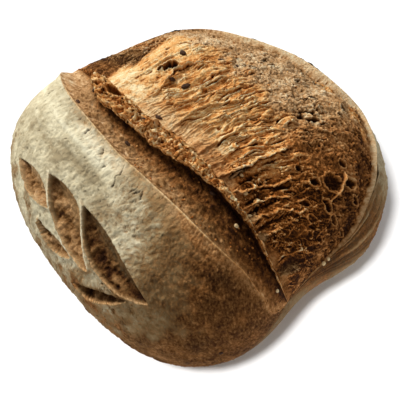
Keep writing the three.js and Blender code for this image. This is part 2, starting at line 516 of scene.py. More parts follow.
def strand(whole, p, path, rise, width):
    """One long torn strand: its height, and its crest and shadowed side."""
    places = np.array([map_place(whole, *place) for place in path])
    order = places[:, 1].argsort()
    s_line, v_line = places[order].T
    away = p.s - np.interp(p.v, v_line, s_line)
    away += 2.6 * noise(p.v / 7, p.s / 30, seed=60) + 1.3 * noise(p.v / 2.3, p.s / 9, seed=61)
    share = (p.v - v_line[0]) / (v_line[-1] - v_line[0])
    ends = ease(-0.05, 0.12, share) * ease(1.1, 0.8, share)
    profile = np.where(away < 0, ease(-width, 0, away), ease(1.3, 0, away))
    uneven = np.clip(1 + 0.6 * noise(p.v / 5, p.s / 12, seed=62), 0.2, 2)
    return rise * profile * ends * uneven, ends * bell(away, -0.3, 0.8), ends * bell(away, 1.7, 1.1)


def bowl(whole, p, place, across, down, seed, uneven=0.35):
    """Distance from the middle of a hole, 1 at its uneven brink."""
    s0, v0 = map_place(whole, *place)
    q = np.hypot((p.s - s0) / across, (p.v - v0) / down)
    return q * (1 + uneven * skin_noise(p, 2.6, seed))


# Where along the loaf the bloom's far part, near part and dark end set in, in degrees.
FAR_PART = (-20, -42)
NEAR_PART = (31, 44)
DARK_END = (50, 70)


def patches(whole, p, places, brink, seed):
    """Patches with ragged brinks: 0 beyond the first share of their reach, 1 within the second."""
    found = 0 * p.v
    for place, across, down in places:
        found = np.maximum(found, ease(*brink, bowl(whole, p, place, across, down, seed)))
    return found


def bloom_areas(whole, p):
    """Which part of the bloom each point belongs to, as shares of 0 to 1."""
    along, turn = p.along, p.turn
    broad = skin_noise(p, 22, 10)
    patchy = skin_noise(p, 9, 11)
    a = SimpleNamespace(broad=broad, patchy=patchy)
    a.far = ease(*FAR_PART, along + 6 * broad + 3 * patchy)
    a.near = ease(*NEAR_PART, along + 7 * broad + 3 * patchy)
    a.dark_end = ease(*DARK_END, along + 6 * broad)
    far_start = -54 - 4 * ease(72, 84, turn) + 3 * ease(88, 98, turn)
    a.far_edge = ease(far_start, far_start - 5, along + 4 * patchy) * ease(28, 40, turn)
    a.burnt = ease(-53.5, -56.5, along + 2 * patchy) * ease(51, 60, turn + 3 * patchy)
    a.burnt *= ease(88, 74, turn + 3 * patchy)
    a.crusty = ease(5, -5, turn - line_at(CRUST_LINE, along) + 6 * broad + 7 * patchy)
    a.crusty *= 1 - 0.7 * a.near * ease(34, 42, turn + 5 * patchy)
    near_lip = ease(18, 6, p.v + 5 * patchy + 8 * ease(15, 40, along) - 4 * a.far)
    a.sheltered = np.maximum(near_lip, patches(whole, p, PALE_PATCHES, (1.2, 0.7), 9))
    a.torn = 1 - a.crusty
    a.bare = a.torn * (1 - a.sheltered)
    return a


def bloom_swell(p):
    """The bloom's broad shape: its bulge, a bump at the far end and a flatter side."""
    share = clipped(p.v / np.maximum(p.v[:, :1], 1))
    bulge = BLOOM_RISE * np.sin(np.pi * share) + 1.6 * skin_noise(p, 28, 29)
    middle, reach, depth = FLAT_SIDE
    bulge -= depth * bell(p.along, middle, reach) * ease(66, 42, p.turn)
    bump_along, bump_round, bump_rise = FAR_BUMP
    return bulge + bump_rise * bell(p.along, *bump_along) * bell(p.turn, *bump_round)


def bloom_texture(p, a):
    """Heights of the torn strands, the crumb and the crust, and what their looks need."""
    s, v = p.s, p.v
    slant = np.clip(0.24 - 0.006 * p.along, 0.12, 0.45)
    u = s - slant * v + 2.5 * a.broad + 2.6 * a.patchy
    w = v + 3.0 * skin_noise(p, 8, 36)
    force = np.clip(0.75 + 0.9 * skin_noise(p, 11, 18), 0.1, 1.7)
    rough = ease(-0.45, 0.35, noise(u / 8, w / 13, seed=50))
    stringy = (1 - a.far) * (1 - 0.88 * a.near)
    crumbly = 1 - stringy
    big, big_edge, big_own = flakes(u, w, 8.5, 18, 13)
    mid, mid_edge, mid_own = flakes(u, w, 4.4, 10, 16)
    (crumb, crumb_edge, crumb_own, bit, bit_edge, bit_own, chunk, chunk_edge, chunk_own,
     wall, hollow, small_wall, small_hollow, pores, web, tear) = mapped(p, open_crumb)
    thread = ridge(u / 4.2, w / 14, 0.26, 38) * ease(-0.4, 0.3, skin_noise(p, 10, 39))
    wisp = ridge(u / 2.2, w / 7, 0.34, 47)
    gaps = ease(0.35, 0.8, noise(u / 2.6, w / 7, seed=48) + 0.25 * a.patchy) * a.bare
    wall *= ease(-0.35, 0.3, skin_noise(p, 5, 96))
    small_wall *= ease(-0.3, 0.4, skin_noise(p, 4, 97))
    web *= a.near * ease(-0.5, 0.2, skin_noise(p, 6, 105))

    strands = stringy * (force * (3.0 * big + 1.8 * mid * rough) + 1.2 * thread + 0.5 * wisp * rough)
    shards = 1.8 * crumb + 0.8 * mid * (1 - a.far) + 2.0 * a.far * chunk + 1.1 * web
    shards += a.near * (1.5 * wall - 1.6 * hollow + 0.8 * small_wall)
    strands += crumbly * force * shards + rough * (0.9 * bit + 0.7 * stringy * crumb)
    quiet = stringy * (0.6 * thread + 0.3 * wisp) + 0.3 * mid * (1 - a.far) + 0.2 * bit
    quiet += crumbly * (0.8 * crumb + 0.3 * bit + chunk)
    edge = clipped(stringy * (0.9 * big_edge + 0.7 * mid_edge + 0.5 * thread)) + 0.4 * bit_edge
    edge += crumbly * (0.9 * crumb_edge + 0.6 * a.far * chunk_edge + 0.75 * web)
    edge += crumbly * a.near * (0.7 * wall + 0.3 * small_wall)
    own = stringy * 0.5 * (big_own + mid_own) + crumbly * 0.7 * crumb_own + 0.4 * bit_own
    own += 0.6 * a.far * chunk_own

    grain = layered(p.x / 2.4, p.y / 2.4, p.z / 2.4, seed=20)
    speck = solid_noise(p, 1.2, 58)
    lumps = solid_noise(p, 8, 21)
    flaky = ease(0.0, 0.5, noise(u / 6, w / 12, seed=49))
    tear += 0.3 * skin_noise(p, 9, 106)
    slit = ease(0.5, 0.66, tear)
    tear_lip = ease(0.3, 0.46, tear) * (1 - slit)
    crust = 1.3 * lumps + 0.55 * grain - 0.7 * pores + 0.8 * bit + (0.4 + flaky) * 1.6 * crumb
    crust += 0.7 * tear_lip - 1.3 * slit + a.near * (0.5 * wall - 0.6 * hollow + 0.3 * small_wall)

    relief = a.bare * strands + a.torn * a.sheltered * quiet + a.crusty * crust - 2.4 * gaps
    relief += a.far_edge * (2.0 * lumps + 2.4 * crumb + 1.2 * grain) + 0.2 * speck * (1 - 0.6 * a.sheltered)
    return SimpleNamespace(
        relief=relief, lean=a.bare * stringy * force * (0.7 * big + 0.4 * mid), u=u, w=w, gaps=gaps, own=own,
        edge=clipped(edge) * force, hollow=hollow, small_hollow=small_hollow, crumb_own=crumb_own,
        bit_own=bit_own, pores=pores, grain=grain, speck=speck, lumps=lumps, slit=slit, tear_lip=tear_lip,
    )


def thin_wall(whole, p):
    """The thin wall left between two bubbles: 1 along its crest."""
    path = np.array([map_place(whole, *place) for place in arc_points(*THIN_WALL)])
    path = path[path[:, 0].argsort()]
    start, end = path[0, 0], path[-1, 0]
    inside = ease(start - 1, start + 2, p.s) * ease(end + 1, end - 2, p.s)
    off = p.v - np.interp(p.s, *path.T) + 0.3 * noise(p.s / 5, p.v / 9, seed=59)
    return inside * bell(off, 0, 0.7)


def bloom_features(whole, p, a, gaps):
    """The strands, hollows, holes and bubbles that are placed one by one, with painted shade inside the
    hollows, holes and bubbles.
    """
    flat = 0 * p.v
    f = SimpleNamespace(relief=flat.copy(), lean=flat.copy(), crest=flat, foot=flat, rims=flat)
    # Painted shade in the gaps between the flakes
    f.pit = 0.28 * gaps
    for start, end, bow, rise, width in STRANDS:
        height, line, shade = strand(whole, p, bowed(start, end, bow), rise, width)
        f.relief += height
        f.lean += 0.35 * height
        f.crest = np.maximum(f.crest, line)
        # The strand's shadowed side is kept to paint shade there
        f.foot = np.maximum(f.foot, shade * rise / 4)
    for place, across, down, depth in HOLLOWS:
        dip = bell(bowl(whole, p, place, across, down, 30), 0, 0.8)
        f.relief -= depth * dip
        f.pit = np.maximum(f.pit, 0.22 * dip * min(depth / 4, 1))
    for place, across, down, depth in HOLES:
        q = bowl(whole, p, place, across, down, 31, HOLE_UNEVEN)
        f.relief += 0.8 * bell(q, 1.15, 0.14) - depth * ease(1.0, 0.5, q)
        inner = (0.35 + 0.65 * ease(0.95, 0.4, q)) * ease(1.12, 0.95, q)
        f.pit = np.maximum(f.pit, inner * min(depth / 4, 0.95))
        f.rims = np.maximum(f.rims, bell(q, 1.2, 0.14) * (0.6 + 0.4 * a.patchy))
    for place, across, down, depth in BUBBLES:
        q = bowl(whole, p, place, across, down, 31, HOLE_UNEVEN)
        f.relief += 0.9 * bell(q, 1.1, 0.12) - depth * ease(1.0, 0.45, q)
        f.pit = np.maximum(f.pit, 0.2 * ease(1.0, 0.6, q) * min(depth / 3, 1))
        f.rims = np.maximum(f.rims, bell(q, 1.12, 0.12))
    place, radius, depth = RING_HOLE
    ring = bell(bowl(whole, p, place, radius, radius, 32), 0.86, 0.22)
    ring *= ease(0.7, -0.4, skin_noise(p, 6, 33))
    f.pit = np.maximum(f.pit, ring)
    thin = thin_wall(whole, p)
    f.rims = np.maximum(f.rims, thin)
    f.relief += 2.2 * thin - depth * ring
    return f


def bloom_browning(whole, p, a, t, f, relief):
    """How browned and how dull the bloom is, with painted shade in its hollows, gaps and holes and on the
    strands' shadowed sides.
    """
    along = p.along
    below_crust = p.turn - line_at(CRUST_LINE, along)
    toast = 0.34 + 0.12 * skin_noise(p, 12, 34) - 0.06 * bell(along, 4, 15)
    toast += 0.05 * ease(8, 28, along) + 0.05 * a.broad + 0.12 * ease(16, 2, below_crust) * (1 - a.far)
    shade = 0.25 + 0.1 * a.patchy + 0.1 * skin_noise(p, 4, 98) + 0.22 * ease(-12, 25, along)
    toast = lerp(toast, shade + 0.12 * a.far * t.crumb_own, a.sheltered)
    toast += 0.3 * a.near * (1 - 0.9 * a.sheltered) + 0.14 * a.dark_end - 0.04 * a.far
    toast += 0.17 * a.torn * t.own * (1 - 0.7 * a.sheltered)
    toast += 0.1 * a.bare * noise(t.u / 5, t.w / 12, seed=51)
    # Painted shade: the crusty part darker in its pores and in the slits of its tears
    crust = 0.35 + 0.16 * (t.lumps + a.patchy) + 0.1 * t.bit_own + 0.12 * t.crumb_own + 0.15 * t.pores
    crust += 0.4 * t.slit + 0.12 * t.tear_lip + 0.12 * ease(14, 4, p.turn - line_at(RIM, along))
    crust += 0.05 * ease(5, 20, along) + 0.34 * ease(5, 50, along)
    burnt_edge = 0.7 + 0.14 * a.burnt + 0.1 * a.patchy + 0.18 * t.crumb_own + 0.12 * t.grain
    scorched = np.maximum(a.far_edge, a.burnt)
    toast = lerp(lerp(toast, crust, a.crusty), burnt_edge, scorched)
    gold = patches(whole, p, GOLD_PATCHES, (1.15, 0.8), 99)
    toast = lerp(toast, 0.46 + 0.22 * t.crumb_own + 0.1 * t.grain, gold)
    olive = patches(whole, p, OLIVE_PATCHES, (1.2, 0.7), 107)
    toast = lerp(toast, 0.66 + 0.08 * (a.patchy + t.crumb_own), 0.8 * olive)
    crest = 0.56 + 0.06 * a.patchy - 0.1 * a.near
    toast = lerp(toast, crest, 0.75 * a.bare * clipped(t.edge))
    # Painted shade: darker in the small and the wide hollows of the relief, on the strands' shadowed sides
    # and in the open crumb's hollows
    hollow_shade = np.clip((blurred(relief, 6) - relief) * 0.8, -1, 1)
    deep = np.clip((blurred(relief, 60) - relief) * 0.35, -1, 1)
    toast += 0.22 * f.foot + 0.4 * hollow_shade * (1 - 0.7 * a.sheltered) + 0.3 * deep * (1 - a.sheltered)
    toast = lerp(toast, crest - 0.02, 0.5 * f.crest) + 0.04 * t.grain * a.bare
    toast = lerp(toast, 0.4, 0.8 * f.rims) + a.near * a.bare * (0.1 * t.hollow + 0.06 * t.small_hollow)
    # Painted shade: holes, pores and gaps taken to the darkest brown
    toast = lerp(toast, 0.96, clipped(1.9 * f.pit))
    grey = 0.95 * a.crusty * (1 - gold) * (1 - 0.6 * ease(5, 40, along))
    grey += 0.55 * a.sheltered * (1 - 0.6 * a.far)
    return toast, lerp(np.maximum(grey, olive), 0.6 + 0.35 * a.burnt, scorched)


def shape_bloom(whole, p):
    """Relief of the torn bloom, how far it leans along, and its looks."""
    a = bloom_areas(whole, p)
    t = bloom_texture(p, a)
    f = bloom_features(whole, p, a, t.gaps)
    relief = bloom_swell(p) + t.relief + f.relief
    toast, grey = bloom_browning(whole, p, a, t, f, relief)
    rim = ease(2.0, 0.6, p.turn - p.turn[:, :1] + 0.8 * skin_noise(p, 4, 95))
    rim *= ease(-50, -30, p.along)
    toast = lerp(toast, 0.14 + 0.28 * ease(35, 70, p.along) - 0.1 * t.speck, 0.9 * rim)
    return relief, t.lean + f.lean, toast, lerp(grey, 0.8, rim), clipped(f.pit) * (1 - rim)


# ------------------------------ the slash

CAVERN = (-36, 110)  # (along, turn) of the hollow in the lip's far part
CAVERN_REACH = (4.6, 2.8)  # the same way, in degrees
CAVERN_DEPTH = 5.0
# The strip's dark band below the lip is painted shade, with some deeper browning
DARK_SHARE = (  # how far down the cut strip is dark, as (along, share) points
    (-90, 0), (-40, 0.1), (-20, 0.35), (20, 0.55), (60, 0.8), (75, 0.6), (90, 0.2),
)


def cut_strip(p, lip_shadow):
    """The cut strip below the lip: its relief, and how browned and how dull it is, with painted shade in a
    dark band below the lip and under its overhang.
    """
    front = line_at(LIP_FRONT, ALONG)
    drop = clipped((p.turn - front) / (line_at(SKIN_EDGE, ALONG) - front))
    grain = layered(p.x / 2.6, p.y / 2.2, p.z / 2.2, seed=44)
    scales = noise(p.s / 9, p.v / 3.2, seed=45) + 0.6 * noise(p.s / 4, p.v / 1.6, seed=47)
    scuffs = ease(0.25, 0.7, noise(p.s / 7, p.v / 2.6, seed=53))
    specks = ease(0.55, 0.8, noise(p.s / 2.2, p.v / 1.6, seed=54))
    relief = 0.6 * grain + 1.2 * scales + 0.8 * noise(p.x / 16, p.y / 8, seed=46)
    limit = line_at(DARK_SHARE, ALONG)
    dark = ease(limit + 0.22, limit - 0.22, drop + 0.2 * scales + 0.12 * grain)
    # Painted shade: darker in the band below the lip and under its overhang
    toast = 0.5 + 0.12 * grain + 0.12 * ease(-10, 55, p.along) + 0.24 * dark + 0.15 * lip_shadow
    toast += 0.17 * scales + 0.25 * specks - 0.16 * scuffs - 0.12 * ease(-48, -66, p.along)
    grey = (0.95 - 0.4 * dark) * (1 - 0.4 * ease(45, 70, p.along))
    return relief * ease(0, 0.15, 1 - drop), toast, grey


def torn_lip(p):
    """The lip: its relief, how browned it is with painted highlights and shade mixed
    in, its pores, and the distance from the middle of its cavern, 1 at the brink."""
    depth = p.z + 2 * p.rise
    lumps = layered(p.x / 5, p.y / 5, depth / 5, seed=42)
    crumb = layered(p.x / 2, p.y / 2, depth / 2, seed=43, layers=2)
    around = p.column * LIP_CELL_SIZE + noise(p.s / 6, 0.1 * p.column, seed=55)
    chunk, chunk_edge, chunk_own = flakes(p.s, around, 5.0, 3.8, 56)
    bit, bit_edge, bit_own = flakes(p.s, around, 2.4, 2.2, 57)
    pores = ease(0.45, 0.9, noise(p.x / 2.4, p.y / 2.4, depth / 2.4, seed=40)) * ease(58, 40, p.along)
    q = np.hypot((p.along - CAVERN[0]) / CAVERN_REACH[0], (p.turn - CAVERN[1]) / CAVERN_REACH[1])
    q += 0.15 * crumb
    relief = 1.4 * lumps + 0.4 * crumb + 2.8 * chunk + bit - 1.6 * pores
    relief *= 1 - 0.8 * ease(1.05, 0.5, q)
    relief += 1.2 * bell(q, 1.25, 0.2) - CAVERN_DEPTH * ease(1.05, 0.5, q)
    # Lighter on raised lumps and on the edges of chunks and bits, a painted highlight, and darker in the
    # pores, painted shade; the rest is each chunk's own browning
    toast = 0.41 - 0.12 * lumps + 0.24 * pores + 0.16 * (chunk_own - chunk_edge)
    toast += 0.12 * bit_own - 0.08 * bit_edge + 0.04 * ease(20, 60, p.along) + 0.3 * ease(-48, -57, p.along)
    # Towards the near end the lip is darker, painted shade on its face, with a lighter band along its crest,
    # a painted highlight
    toast += ease(25, 45, p.along) * (0.2 - 0.42 * bell(p.column, 17 + 4 * bit, 6))
    return relief, toast, pores, q


def shape_slash(p):
    """Relief of the lip and the cut strip below it, their looks, and how crumbly they are."""
    on_lip = ease(LIP_CELLS + LIP_FOOT_CELLS - 1, LIP_CELLS, p.column)
    # The columns just under the lip's overhang, painted darker for the shadow there
    lip_shadow = ease(LIP_CELLS - 1, LIP_CELLS + 3, p.column)
    lip_shadow *= ease(LIP_CELLS + 20, LIP_CELLS + LIP_FOOT_CELLS, p.column)
    strip_relief, strip_toast, strip_grey = cut_strip(p, lip_shadow)
    lip_relief, lip_toast, pores, q = torn_lip(p)
    relief = lerp(strip_relief, lip_relief, on_lip)
    # Painted shade: the lip darker in the hollows of its relief
    lip_toast += 0.7 * np.clip((blurred(relief, 5) - relief) * 0.7, -0.22, 1)
    # Painted shade inside the cavern, a little lighter at its brink
    lip_toast = lerp(lip_toast, 0.72 - 0.3 * bell(q, 1.2, 0.2), ease(1.4, 1.0, q))
    lip_grey = 0.5 * ease(0.2, 0.7, solid_noise(p, 5, 52))
    toast, grey = lerp(strip_toast, lip_toast, on_lip), lerp(strip_grey, lip_grey, on_lip)
    # The lip's pores are painted darker for the shade in them
    return relief, toast, grey, 0.2 * on_lip * pores, 0.8 * on_lip * (1 - 0.7 * ease(1.05, 0.5, q))


# ------------------------------ the crust

# Leaf cuts on the flank: depth, how browned they are, (along, turn) of the tail and
# the tip, and how many degrees the upper and the lower side bow out between them.
LEAVES = (
    (3.2, 0.52, (-37, 163), (-13, 161), 5, 3),
    (4.4, 0.6, (-21, 153), (14, 164), 7, 5),
    (5.4, 0.82, (-2, 150), (38, 159), 4, 7),
    (1.8, 0.56, (-13, 169), (6, 166), 1, 4),
    (4.6, 0.8, (10, 174), (31, 163), 1, 4),
    (2.4, 0.95, (-14, 168), (-6, 170), 0.5, 1),
)
LEAF_FULLNESS = 0.8  # below 1 the leaves are blunter than a sine
LEAF_RIBS = (  # thin raised strips between two cuts: width, (along, turn) of both ends
    (1.7, ((-23, 152), (-13, 161))),
    (1.9, ((-4, 149), (14, 164))),
)
BANK_WIDTH = 2.2
# Soft folds along the flank: raised and lowered, and also painted lighter and darker on the flour, a painted
# highlight and painted shade
BRIGHT_BAND = ((-90, 146), (-35, 137), (-10, 135), (20, 142))
SHADY_BAND = ((-90, 156), (-40, 148), (-10, 141), (20, 150))
# Single spots of flour: (along, turn), radius in mm.
FLOUR_SPOTS = (((35, 174), 5.0), ((43, 173), 4.0), ((30, 181), 4.0))
CRACKS = (  # open cracks below the cut's edge: (along, turn) of the upper end, length, lean
    ((-3, 129), 9, 0.4),
    ((-27, 129), 4, 0.2),
    ((12, 130), 3, 0.4),
    ((-16, 131), 3, 0.3),
)


def inside_leaf(tail, tip, over, under, p):
    """How far inside a leaf cut points lie, in mm, and their share of the way from
    its upper side (0) to its lower side (1)."""
    share = np.clip((p.along - tail[0]) / (tip[0] - tail[0]), 0, 1)
    bow = np.sin(np.pi * share) ** LEAF_FULLNESS
    top = lerp(tail[1], tip[1], share) - over * bow
    foot = lerp(tail[1], tip[1], share) + under * bow
    per_degree = np.gradient(-p.v, axis=1) / np.gradient(p.turn, axis=1)
    ragged = 0.25 * skin_noise(p, 1.6, 79)
    inside = np.minimum(p.turn - top, foot - p.turn) * per_degree + ragged
    beyond = np.maximum(tail[0] - p.along, p.along - tip[0]) * MM_PER_DEGREE
    inside = np.where(beyond > 0, -np.hypot(beyond, np.minimum(inside, 0)), inside)
    return inside, np.clip((p.turn - top) / np.maximum(foot - top, 0.1), 0, 1)


def open_cracks(p, t, edge):
    """Fine cracks and a few wider ones below the cut's edge: 1 along them."""
    s, q, turn = p.s, -p.v, p.turn
    crack = ridge(s / 4.5, q / 10, 0.07, 75) * ease(0.25, 0.5, noise(s / 7, q / 5, seed=83))
    crack *= ease(edge + 0.8, edge + 2, turn) * ease(edge + 22, edge + 12, turn) * (1 - t.brown)
    for (start, top), length, lean in CRACKS:
        down = turn - top
        off = (p.along - start - lean * down) * MM_PER_DEGREE + 1.5 * t.mild + 1.6 * t.puffy
        ends = ease(-0.3, 0.3, down) * ease(length + 0.3, length - 0.3, down)
        crack = np.maximum(crack, bell(off, 0, 0.5) * ends)
    return crack


def crust_texture(p, edge):
    """The skin's fine patterns, and which parts of it are browned or wrinkled."""
    s, q, along, turn = p.s, -p.v, p.along, p.turn
    mild = solid_noise(p, 4.5, 72)
    t = SimpleNamespace(
        broad=solid_noise(p, 30, 70), patchy=solid_noise(p, 10, 71), mild=mild,
        puffy=solid_noise(p, 2.6, 100), fine=solid_noise(p, 1.5, 74), waves=noise(s / 40, turn / 3, seed=73),
        streaks=noise(s / 1.9 + 0.6 * mild, q / 6.5, seed=76),
    )
    t.near_edge = ease(162, 148, turn) * ease(edge + 2, edge + 6, turn)
    t.brown = ease(14, 58, along + 10 * t.broad + 7 * t.patchy + 4 * mild - 0.3 * (turn - 150))
    t.creases = ridge(s / 4.0 + 0.9 * mild + 0.5 * t.puffy, q / 5 + 0.7 * mild, 0.09, 77)
    t.creases *= ease(0.0, 0.4, noise(s / 6, q / 6, seed=78)) * (1 - ease(0.1, 0.5, t.brown))
    gap, _, _, own, _ = cells(s / 2.4 + 0.5 * mild, q / 2.4, seed=82)
    t.blister = ease(0.55, 0.1, gap) * (0.4 + 0.9 * own)
    creased = noise((s + q) / 2.6 + 0.5 * mild, (s - q) / 10, seed=108)
    t.creased = creased * bell(along, 18, 20) * t.near_edge
    t.specks = ease(0.62, 0.85, solid_noise(p, 2.0, 109)) * (1 - t.brown)
    bright = bell(turn, line_at(BRIGHT_BAND, along) + 0.8 * t.patchy, 2.4) * ease(4, -16, along)
    t.bright = bright * (0.7 + 0.5 * t.patchy)
    shady = bell(turn, line_at(SHADY_BAND, along) + 1.5 * t.patchy, 3.2)
    t.shady = shady * ease(20, 0, along) * ease(-52, -34, along)
    t.crack = open_cracks(p, t, edge)
    t.tan = bell(turn, edge + 1.5, 4.5) * ease(-55, -30, along)
    t.cream = bell(turn, edge + 3.5, 3.6) * ease(-36, -26, along) * ease(4, -5, along + 5 * t.patchy)
    t.wrinkles = ease(335, 358, turn) * ease(30, 50, along)
    t.folds = noise(turn / 2.6, along / 26, seed=84) + 0.5 * noise(turn / 1.2, along / 14, seed=85)
    return t


def crust_relief(t):
    """Height of the skin's texture."""
    plaster = 0.1 * t.streaks + 0.4 * (t.creased + t.puffy) + 0.2 * t.mild + 0.24 * t.fine
    plaster -= 0.4 * t.creases + 0.5 * t.specks
    pebbled = 0.45 * t.blister + 0.3 * (t.puffy + t.creased) + 0.2 * t.streaks + 0.15 * t.fine
    relief = 0.9 * t.broad + 0.5 * t.patchy + 0.3 * t.mild + 0.9 * t.waves * t.near_edge
    relief += (1 - t.brown) * plaster + t.brown * pebbled
    return relief + 0.6 * t.bright - 0.7 * t.shady - 0.9 * t.crack + 1.2 * t.wrinkles * t.folds


def crust_flour(p, t):
    """How thickly the skin is dusted."""
    along, turn = p.along, p.turn
    flour = 1.0 - 0.38 * ease(-12, 30, along + 10 * t.broad + 6 * t.patchy) - 0.72 * t.brown
    flour -= 0.3 * t.tan + 0.1 * t.cream + 0.25 * ease(164, 182, turn + 4 * t.patchy)
    flour -= 0.2 * ease(165, 176, turn) * ease(-25, 5, along)
    flour -= 0.4 * ease(0.0, 0.6, t.patchy + 0.5 * t.broad) * ease(154, 168, turn)
    thin = ease(0.0, 0.35, flour) * (1 - 0.75 * ease(0.65, 0.95, flour))
    texture = 0.1 * t.streaks + 0.3 * t.creased + 0.22 * t.mild + 0.12 * t.puffy - 0.35 * t.creases
    flour += thin * texture
    for (middle, level), radius in FLOUR_SPOTS:
        away = MM_PER_DEGREE * np.hypot(along - middle, turn - level) / radius
        flour = np.maximum(flour, 0.45 * ease(1.6, 0.2, away + 0.6 * t.mild + 0.3 * t.streaks))
    beyond = ease(200, 225, turn) * ease(395, 360, turn)
    flour = lerp(flour, 0.25 + 0.35 * t.broad + 0.2 * t.patchy, beyond)
    pale_rim = ease(345, 368, turn) * ease(58, 40, along)
    flour = np.maximum(flour, pale_rim * (0.75 + 0.2 * t.patchy))
    on_folds = 0.5 * ease(0.2, 0.8, t.folds) * ease(66, 50, along)
    return flour * (1 - 0.8 * t.wrinkles) + t.wrinkles * on_folds


def crust_browning(p, t):
    """How browned and how dull the skin is, with painted highlights and shade on its folds and blisters."""
    toast = 0.66 + 0.12 * t.brown + 0.06 * t.patchy + 0.05 * t.mild + 0.25 * t.creases
    toast -= 0.2 * t.tan + 0.3 * t.cream + 0.08 * t.creased
    # On the brown crust, lighter on the raised blisters and puffs, a painted highlight
    toast += t.brown * (0.02 - 0.1 * t.blister + 0.05 * t.streaks - 0.06 * t.puffy)
    toast = lerp(toast, 0.74 - 0.3 * t.folds + 0.08 * ease(55, 70, p.along), t.wrinkles)
    # Painted highlight and shade on the flour: lighter on the crests of the waves near the edge and in the
    # bright band, darker in the shady band
    dull = 0.56 - 0.2 * t.waves * t.near_edge + 0.18 * t.broad + 0.3 * t.tan + 0.25 * t.creases
    dull += 0.1 * (t.streaks + t.puffy) + 0.14 * t.patchy + 0.12 * t.mild
    dull += 0.32 * (t.shady - t.bright) - 0.6 * t.cream
    return toast, lerp(dull, 1.0 - 0.3 * t.brown + 0.2 * t.patchy, ease(0, 0.3, t.brown))


def cut_leaves(p, t, skin):
    """Cuts the leaves into the skin's relief and looks."""
    blotch = solid_noise(p, 5.5, 87) + 0.3 * solid_noise(p, 2.2, 88)
    for depth, browned, tail, tip, over, under in LEAVES:
        inside, across = inside_leaf(tail, tip, over, under, p)
        within = ease(-0.2, 0.5, inside)
        wall = ease(0.56, 0.3, across + 0.16 * blotch)
        scoop = ease(0, 0.4, across) * (1 - 0.8 * ease(0.45, 1, across))
        floor = 0.9 * ease(0, 0.5, inside) + depth * scoop - (1.2 * blotch - 0.3) * (1 - 0.8 * wall)
        floor -= (0.55 * t.puffy + 0.3 * t.fine) * (1 - 0.5 * wall)
        bank = bell(inside, -BANK_WIDTH / 2, BANK_WIDTH / 2) * ease(0.3, 0.8, across)
        skin.relief = lerp(skin.relief, 0.4 * skin.relief - floor, within) + 1.1 * bank
        gold = bell(inside, -0.35, 0.38) * ease(0.45, 0.8, across)
        # The leaf floor is painted lighter where it is raised and darker where it is low, painted highlight
        # and shade over its own blotchy browning
        inner = browned - 0.26 * blotch * (1 - 0.6 * wall) - 0.08 * t.puffy
        pale = ease(0.2, 0.8, blotch)
        skin.toast = lerp(lerp(skin.toast, inner, within), 0.28, 0.85 * gold)
        skin.flour = lerp(skin.flour * (1 - 0.85 * gold), 0.16 * wall + 0.14 * pale, within)
        skin.dull = lerp(skin.dull, 0.95 + 0.2 * wall - 0.35 * pale * (1 - wall), within)
        skin.pit = np.maximum(skin.pit, 0.8 * within * ease(-0.55, -0.9, blotch) * (1 - 0.7 * wall))


def raise_ribs(p, t, skin):
    """Raises the thin floured ribs between the leaf cuts."""
    for width, path in LEAF_RIBS:
        off = np.abs(p.turn - line_at(path, p.along)) * MM_PER_DEGREE
        rib = ease(width, 0.3 * width, off + 0.3 * noise(p.s / 1.8, -p.v / 1.8, seed=89))
        rib *= ease(path[0][0] - 1.5, path[0][0] + 1, p.along)
        rib *= ease(path[-1][0] + 1.5, path[-1][0] - 0.5, p.along)
        skin.relief = lerp(skin.relief, 0.9 + 0.4 * t.fine, rib)
        skin.flour = lerp(skin.flour, 0.75, rib)
        skin.toast = lerp(skin.toast, 0.3, rib)
        skin.dull = lerp(skin.dull, 0.3, rib)


def shape_crust(p):
    """Relief of the skin with its leaf cuts, and its looks."""
    edge = line_at(SKIN_EDGE, ALONG)
    t = crust_texture(p, edge)
    toast, dull = crust_browning(p, t)
    # Cracks and small dimples painted dark for the shade in them
    pit = np.maximum(0.9 * t.crack, 0.25 * t.specks)
    skin = SimpleNamespace(relief=crust_relief(t), toast=toast, dull=dull, pit=pit, flour=crust_flour(p, t))
    cut_leaves(p, t, skin)
    raise_ribs(p, t, skin)
    edge_line = bell(p.turn, edge, 0.6) * (1 - 0.7 * ease(-50, -70, p.along))
    toast = lerp(skin.toast, 0.12 + 0.3 * ease(30, 75, p.along), 0.9 * edge_line)
    dull = skin.dull * (1 - 0.8 * edge_line)
    return skin.relief, toast, dull, skin.pit, skin.flour * (1 - 0.85 * edge_line)


# ------------------------------ the skin

# Columns by which the bloom runs up the lip's back, and the slash into the bloom.
BLOOM_OVERLAP = 8
SLASH_OVERLAP = 14
TAKEOVER = (-2.2, 0.8)  # degrees from the lip's back over which slash takes over from bloom
RIM_EASE = 5  # columns over which relief sets in beside the rim
CRUMBLE = ((1.4, 3.6, 81), (0.4, 1.5, 84))  # how the lip crumbles: reach, size, seed


def grid_normals(point):
    """Smooth normals of the closed grid of points."""
    diagonal = point[1:, 1:] - point[:-1, :-1]
    other = point[1:, :-1] - point[:-1, 1:]
    face = np.cross(diagonal, other)
    total = np.zeros_like(point)
    total[:-1, :-1] += face
    total[1:, :-1] += face
    total[:-1, 1:] += face
    total[1:, 1:] += face
    seam = total[:, 0] + total[:, -1]
    total[:, 0] = seam
    total[:, -1] = seam
    total[0] = total[0].sum(0)
    total[-1] = total[-1].sum(0)
    return total / np.linalg.norm(total, axis=-1, keepdims=True)


